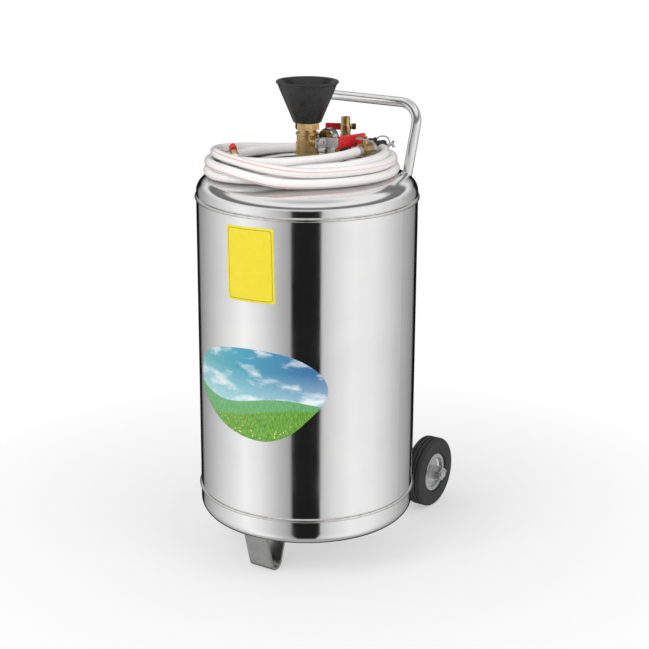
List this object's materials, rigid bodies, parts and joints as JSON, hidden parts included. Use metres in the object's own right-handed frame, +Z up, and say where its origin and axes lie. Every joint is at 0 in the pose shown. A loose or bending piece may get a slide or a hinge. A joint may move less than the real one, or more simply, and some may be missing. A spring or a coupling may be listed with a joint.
{
  "type": "wheeled sprayer tank",
  "caption": "Upright steel pressure tank on wheels and a foot, with a push handle, a filling funnel, valves, a gauge, a coiled hose and a hand spray gun.",
  "frame": {"origin": "on the ground, at the middle of the cart's footprint", "axes": "+X along the axle to the right, +Y towards the handle and the wheels, +Z up"},
  "size_m": [0.4056, 0.5608, 0.887],
  "materials": {
    "stainless": "polished",
    "zinc": "satin",
    "brass": "satin",
    "ball": "polished",
    "red_grip": "satin",
    "black_rubber": "matte",
    "tyre": "matte",
    "bush": "matte",
    "dip": "satin",
    "gauge_case": "satin",
    "dial": "matte",
    "needle": "matte",
    "window": "clear",
    "black_plastic": "satin",
    "orange_plastic": "satin",
    "wire": "polished",
    "hose": "gloss"
  },
  "bodies": {
    "cart": {"tank_shell": "stainless", "top_head": "stainless", "bottom_head": "stainless", "weld_seams": "stainless", "front_foot": "stainless", "axle_bracket_left": "stainless", "axle_bracket_right": "stainless", "handle_tube": "stainless", "handle_welds": "stainless", "fill_socket": "stainless", "gauge_socket": "stainless", "air_socket": "stainless", "outlet_socket": "stainless", "axle": "zinc", "axle_washers": "zinc", "axle_nuts": "zinc", "cotter_pins": "zinc", "outlet_elbow": "zinc", "hose_clamp": "zinc", "fill_valve_body": "brass", "fill_valve_end": "brass", "funnel_tail": "brass", "air_valve_body": "brass", "safety_valve_body": "brass", "outlet_valve_body": "brass", "hose_barb": "brass", "hose_end_fitting": "brass", "funnel": "black_rubber", "dip_tube": "dip", "gauge_case": "gauge_case", "gauge_dial": "dial", "gauge_window": "window", "gun_body": "black_plastic", "gun_nozzle": "orange_plastic", "gun_guard": "wire", "hose_lead": "hose", "hose_coil": "hose", "hose_tail": "hose"},
    "wheel_left": {"wheel_rim_left": "zinc", "tyre_left": "tyre", "bushes_left": "bush"},
    "wheel_right": {"wheel_rim_right": "zinc", "tyre_right": "tyre", "bushes_right": "bush"},
    "fill_handle": {"fill_ball": "ball", "fill_lever": "zinc", "fill_lever_grip": "red_grip", "fill_lever_nut": "zinc"},
    "air_handle": {"air_ball": "ball", "air_lever": "zinc", "air_lever_grip": "red_grip"},
    "outlet_handle": {"outlet_ball": "ball", "outlet_lever": "zinc"},
    "gauge_needle": {"gauge_pointer": "needle"},
    "safety_cap": {"safety_valve_cap": "black_plastic"},
    "gun_lever": {"gun_trigger": "black_plastic"},
    "gun_screw": {"gun_wing_screw": "wire"},
    "hose_nut": {"hose_end_wing": "red_grip"}
  },
  "joints": [
    {"name": "wheel_left_spin", "type": "hinge", "parent": "cart", "child": "wheel_left", "pos_m": [-0.104, 0.2104, 0.07], "axis": [1, 0, 0], "continuous": true},
    {"name": "wheel_right_spin", "type": "hinge", "parent": "cart", "child": "wheel_right", "pos_m": [0.104, 0.2104, 0.07], "axis": [1, 0, 0], "continuous": true},
    {"name": "fill_lever_turn", "type": "hinge", "parent": "cart", "child": "fill_handle", "pos_m": [0, -0.0776, 0.781], "axis": [0.9511, -0.309, 0], "range_deg": [0, 90]},
    {"name": "air_lever_turn", "type": "hinge", "parent": "cart", "child": "air_handle", "pos_m": [0.024, 0.0124, 0.791], "axis": [-0.4226, 0.9063, 0], "range_deg": [0, 90]},
    {"name": "outlet_lever_turn", "type": "hinge", "parent": "cart", "child": "outlet_handle", "pos_m": [0.0955, -0.0366, 0.768], "axis": [0, 0, 1], "range_deg": [0, 90]},
    {"name": "gauge_needle_turn", "type": "hinge", "parent": "cart", "child": "gauge_needle", "pos_m": [0.027, -0.0516, 0.783], "axis": [0, -1, 0], "range_deg": [0, 270]},
    {"name": "safety_cap_pull", "type": "slide", "parent": "cart", "child": "safety_cap", "axis": [0.9063, 0.4226, 0], "range_m": [0, 0.002], "stiffness_N_per_m": 800, "springref_m": -0.002},
    {"name": "gun_trigger_squeeze", "type": "hinge", "parent": "cart", "child": "gun_lever", "pos_m": [0.08312, 0.01931, 0.77573], "axis": [0.5446, -0.8387, 0], "range_deg": [0, 12], "stiffness_Nm_per_rad": 0.4, "springref_deg": -5.73},
    {"name": "gun_screw_turn", "type": "hinge", "parent": "cart", "child": "gun_screw", "pos_m": [0.10188, 0.03149, 0.76588], "axis": [0.8324, 0.5406, 0.1219], "continuous": true},
    {"name": "hose_nut_turn", "type": "hinge", "parent": "cart", "child": "hose_nut", "pos_m": [-0.09806, -0.16346, 0.753], "axis": [-0.6144, 0.6349, 0.4684], "continuous": true}
  ]
}
